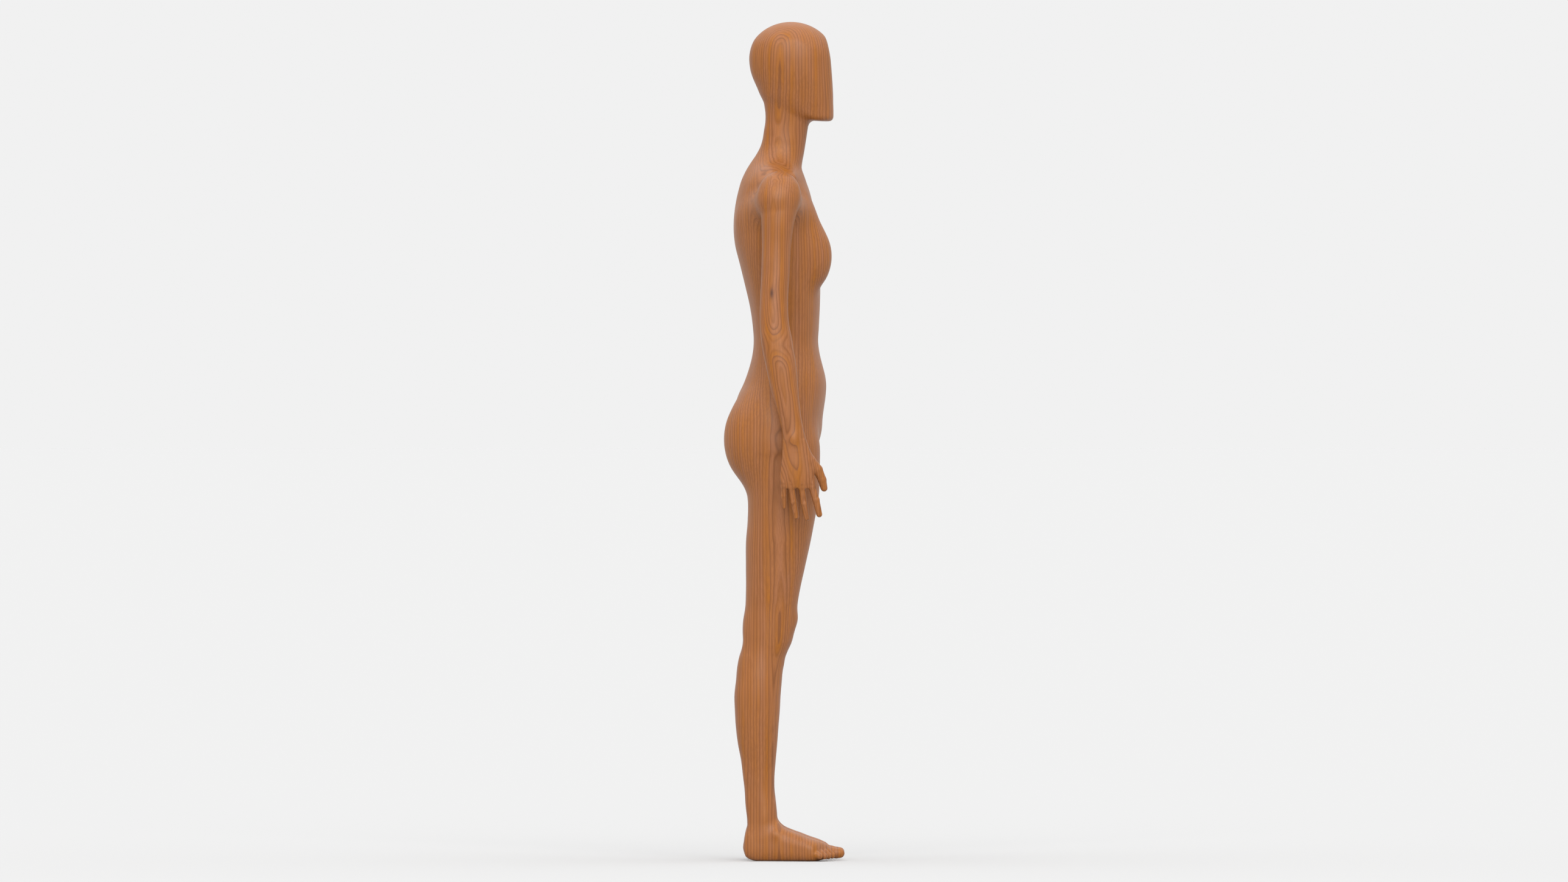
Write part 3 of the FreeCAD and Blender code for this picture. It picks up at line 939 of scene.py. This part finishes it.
def figure_wood(name, rows, ring, sway, knot=None):
    """Orange-brown softwood under satin varnish: upright growth rings round the pith that the rows give."""
    n = Nodes(name)
    metres = n.add("ShaderNodeTexCoord").outputs["Object"]
    place = n.vector("MULTIPLY", metres, (1 / MODULE,) * 3)
    bent = bent_place(n, place, sway)
    from_pith = distance_from_pith(n, bent, rows)
    uneven = n.math("MULTIPLY", n.noise(place, UNEVEN_WAVES, 1.0), UNEVEN_RINGS)
    turns = n.math("ADD", n.math("DIVIDE", from_pith, ring), uneven)
    latewood = n.ramp(n.math("FRACT", turns), RING_PROFILE)
    fibre = n.noise(place, FIBRE_WAVES, 4.0)

    wood = ring_wood(n, place, turns, latewood, fibre)
    core = fading(n, n.math("POWER", n.math("DIVIDE", from_pith, PITH_CORE), 2.0))
    wood = n.blend(n.math("MULTIPLY", core, PITH_DARKNESS), wood, colour(*KNOT_BROWN))
    if knot:
        wood = n.blend(knot_share(n, bent, *knot), wood, colour(*KNOT_BROWN))

    rough = n.math("ADD", n.math("MULTIPLY", latewood, -LATEWOOD_POLISH), ROUGHNESS)
    rough = n.math("ADD", rough, n.math("MULTIPLY", fibre, FIBRE_ROUGHNESS))
    height = n.math("ADD", n.math("MULTIPLY", latewood, 0.5), n.math("MULTIPLY", fibre, 0.5))
    bump = n.add("ShaderNodeBump", None, Strength=BUMP, Distance=GRAIN_RELIEF, Height=height)
    surface = n.surface(wood, Roughness=rough, Normal=bump.outputs[0])
    surface.inputs["Specular IOR Level"].default_value = SPECULAR
    surface.inputs["Coat Weight"].default_value = COAT
    surface.inputs["Coat Roughness"].default_value = COAT_ROUGHNESS
    return n.material


def dowel_wood():
    """Plain pale dowel wood with fine straight grain."""
    n = Nodes("dowel_wood")
    metres = n.add("ShaderNodeTexCoord").outputs["Object"]
    grain = n.noise(metres, DOWEL_WAVES, 3.0)
    wood = n.blend(grain, colour(*DOWEL_PALE), colour(*DOWEL_DARK))
    bump = n.add("ShaderNodeBump", None, Strength=BUMP, Distance=DOWEL_RELIEF, Height=grain)
    n.surface(wood, Roughness=DOWEL_ROUGHNESS, Normal=bump.outputs[0])
    return n.material


def floor_paint():
    """Plain matt pale paint."""
    n = Nodes("floor_paint")
    surface = n.surface((FLOOR_TINT, FLOOR_TINT, FLOOR_TINT, 1), Roughness=FLOOR_ROUGHNESS)
    surface.inputs["Specular IOR Level"].default_value = 0.0
    return n.material


def paired(name, node, points, quads, cuts, wood):
    """A piece on the left and its mirror image on the right."""
    left = carved(name + "_left", "left_" + node, points, quads, cuts, wood)
    mirrored_copy(left, name + "_right", "right_" + node)


def trunk(wood):
    """The trunk, with holes for the neck's, shoulders' and hips' dowels."""
    names = ["neck_dowel"]
    for side in ("left", "right"):
        names += [side + "_shoulder_dowel", side + "_hip_dowels"]
    points, quads = meshed(trunk_field, *TRUNK_BOX, GRID_TRUNK, names, both_sides=True)
    carved("carved_trunk", "trunk", points, quads, TRUNK_CUTS, wood)


def head(wood):
    """The head with its neck."""
    points, quads = meshed(head_field, *HEAD_BOX, GRID_HEAD, ["neck_dowel"], both_sides=True)
    carved("carved_head", "head", points, quads, HEAD_CUTS, wood)


def arms(wood):
    """Both arms, down to the wrists."""
    points, quads = meshed(arm_field, *ARM_BOX, GRID_ARM, ["left_shoulder_dowel", "left_wrist_dowel"])
    paired("carved_arm", "arm", points, quads, ARM_CUTS, wood)


def hands(wood):
    """Both hands."""
    points, quads = meshed(hand_field, *HAND_BOX, GRID_HAND, ["left_wrist_dowel"])
    paired("carved_hand", "hand", points, quads, HAND_CUTS, wood)


def legs(wood):
    """Both legs with their feet."""
    points, quads = meshed(leg_field, *LEG_BOX, GRID_LEG, ["left_hip_dowels"])
    paired("carved_leg", "leg", points, quads, LEG_CUTS, wood)


def dowels():
    """The dowels keep their CAD shapes and get their own wood."""
    wood = dowel_wood()
    for name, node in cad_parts.items():
        if "dowel" in name:
            node.data.materials.clear()
            node.data.materials.append(wood)


def figure():
    """Every carved piece in place of its CAD node, and the dowels."""
    body_wood = figure_wood("body_wood", BODY_PITH, BODY_RING, BODY_SWAY)
    arm_wood = figure_wood("arm_wood", ARM_PITH, ARM_RING, ARM_SWAY, ARM_KNOT)
    trunk(body_wood)
    head(body_wood)
    arms(arm_wood)
    hands(arm_wood)
    legs(body_wood)
    dowels()


def stage_floor():
    """A wide pale floor under the figure."""
    low, high = -FLOOR_HALF, FLOOR_HALF
    data = bpy.data.meshes.new("floor")
    corners = [(low, low, 0), (high, low, 0), (high, high, 0), (low, high, 0)]
    data.from_pydata(corners, [], [(0, 1, 2, 3)])
    data.materials.append(floor_paint())
    floor = bpy.data.objects.new("floor", data)
    bpy.context.scene.collection.objects.link(floor)


def soft_sun(name, azimuth, elevation, strength, spread):
    """Even light from a wide patch of sky. Azimuth 0 is ahead of the figure and 90 on its left."""
    data = bpy.data.lights.new(name, "SUN")
    data.energy = strength
    data.angle = math.radians(spread)
    light = bpy.data.objects.new(name, data)
    bpy.context.scene.collection.objects.link(light)
    turn, rise = math.radians(azimuth), math.radians(elevation)
    towards = (math.sin(turn) * math.cos(rise), -math.cos(turn) * math.cos(rise), math.sin(rise))
    light.rotation_euler = Vector(towards).to_track_quat("Z", "Y").to_euler()


def studio():
    """Even pale surroundings, brighter overhead, with soft light from the figure's right."""
    world = bpy.data.worlds.new("studio")
    bpy.context.scene.world = world
    world.use_nodes = True
    nodes, links = world.node_tree.nodes, world.node_tree.links
    direction = nodes.new("ShaderNodeTexCoord").outputs["Generated"]
    split = nodes.new("ShaderNodeSeparateXYZ")
    links.new(direction, split.inputs[0])
    lift = nodes.new("ShaderNodeMapRange")
    lift.interpolation_type = "SMOOTHERSTEP"
    lift.inputs["From Min"].default_value = LIFT_FROM
    lift.inputs["From Max"].default_value = 1.0
    lift.inputs["To Min"].default_value = BACKDROP
    lift.inputs["To Max"].default_value = OVERHEAD
    links.new(split.outputs["Z"], lift.inputs["Value"])
    links.new(lift.outputs[0], nodes["Background"].inputs["Strength"])
    nodes["Background"].inputs["Color"].default_value = (1, 1, 1, 1)
    for sun in SUNS:
        soft_sun(*sun)
    bpy.context.scene.view_settings.view_transform = "Standard"


def camera():
    """A long lens level with the middle of the figure, square to its right side."""
    data = bpy.data.cameras.new("camera")
    data.lens = LENS
    data.sensor_width = SENSOR
    data.clip_end = VIEW_END
    eye = bpy.data.objects.new("camera", data)
    bpy.context.scene.collection.objects.link(eye)
    eye.location = (-VIEW_WIDTH * HEIGHT * LENS / SENSOR, 0.0, HEIGHT / 2)
    eye.rotation_euler = (math.pi / 2, 0, -math.pi / 2)
    bpy.context.scene.camera = eye


figure()
stage_floor()
studio()
camera()
